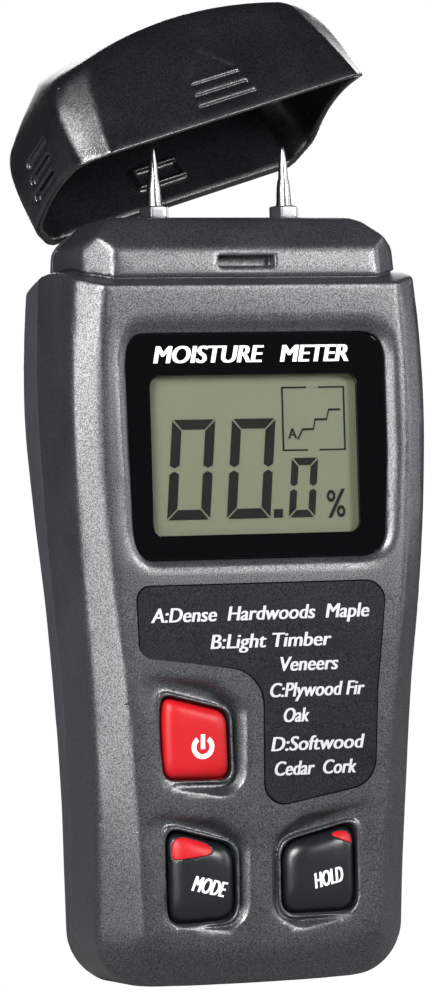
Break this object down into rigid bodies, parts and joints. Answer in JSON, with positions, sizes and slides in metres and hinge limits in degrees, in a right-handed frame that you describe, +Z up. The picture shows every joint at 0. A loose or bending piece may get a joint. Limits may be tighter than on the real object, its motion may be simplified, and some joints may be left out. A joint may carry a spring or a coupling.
{
  "type": "moisture meter",
  "caption": "Hand-held pin moisture meter with a display, three keys, two measuring pins, a pull-off pin cap and a sliding battery door.",
  "frame": {"origin": "on the flat base, under the midpoint between the two measuring pins", "axes": "+Z up along the meter towards the pins, -Y out of the display, +X to the right seen from the front"},
  "size_m": [0.059, 0.0484, 0.16],
  "materials": {
    "front_shell": "fine sparkling grain, dark warm grey",
    "rear_shell": "satin slate grey",
    "cap": "leather-grain black",
    "cover_window": "clear acrylic, printed black on its back round the display",
    "lcd": "grey-green reflective",
    "white_plastic": "satin",
    "zebra_rubber": "matte",
    "label": "matte printed film",
    "board": "solder mask",
    "chip": "matte",
    "components": "satin",
    "steel": "turned stainless",
    "clear_film": "translucent film",
    "red_key": "satin silicone",
    "black_key": "satin silicone",
    "brass": "plated",
    "red_wire": "satin",
    "black_wire": "satin",
    "battery_case": "printed metal jacket",
    "snap_plastic": "matte",
    "foam": "open-cell foam",
    "black_screw": "black oxide"
  },
  "bodies": {
    "meter": {"front_shell": "front_shell", "rear_shell": "rear_shell", "cover_window": "cover_window", "lcd_cell": "lcd", "lcd_frame": "white_plastic", "zebra_strips": "zebra_rubber", "front_label": "label", "main_board": "board", "controller_chip": "chip", "board_components": "components", "buzzer": "chip", "dome_switches": "steel", "dome_sheet": "clear_film", "left_pin": "steel", "right_pin": "steel", "pin_nuts": "steel", "pin_block": "white_plastic", "block_nuts": "brass", "ring_terminals": "brass", "left_lead": "red_wire", "right_lead": "black_wire", "battery": "battery_case", "battery_terminals": "steel", "battery_snap": "snap_plastic", "snap_leads": "red_wire", "foam_pad": "foam", "insulation_sheet": "clear_film", "case_screws": "black_screw", "board_screws": "steel"},
    "cap": {"cap_shell": "cap"},
    "door": {"battery_door": "rear_shell", "door_latch": "rear_shell"},
    "power_key": {"power_button": "red_key"},
    "mode_key": {"mode_button": "black_key", "mode_marker": "red_key"},
    "hold_key": {"hold_button": "black_key", "hold_marker": "red_key"}
  },
  "joints": [
    {"name": "cap_off", "type": "hinge", "parent": "meter", "child": "cap", "pos_m": [-0.0233, 0.0311, 0.1082], "axis": [-0.7712, -0.5722, 0.2791], "range_deg": [-33.5, 0]},
    {"name": "door_slide", "type": "slide", "parent": "meter", "child": "door", "axis": [0, 0, -1], "range_m": [0, 0.015]},
    {"name": "power_press", "type": "slide", "parent": "meter", "child": "power_key", "axis": [0, 1, 0], "range_m": [0, 0.0005], "stiffness_N_per_m": 1500, "springref_m": -0.0002},
    {"name": "mode_press", "type": "slide", "parent": "meter", "child": "mode_key", "axis": [0, 1, 0], "range_m": [0, 0.0005], "stiffness_N_per_m": 1500, "springref_m": -0.0002},
    {"name": "hold_press", "type": "slide", "parent": "meter", "child": "hold_key", "axis": [0, 1, 0], "range_m": [0, 0.0005], "stiffness_N_per_m": 1500, "springref_m": -0.0002}
  ]
}
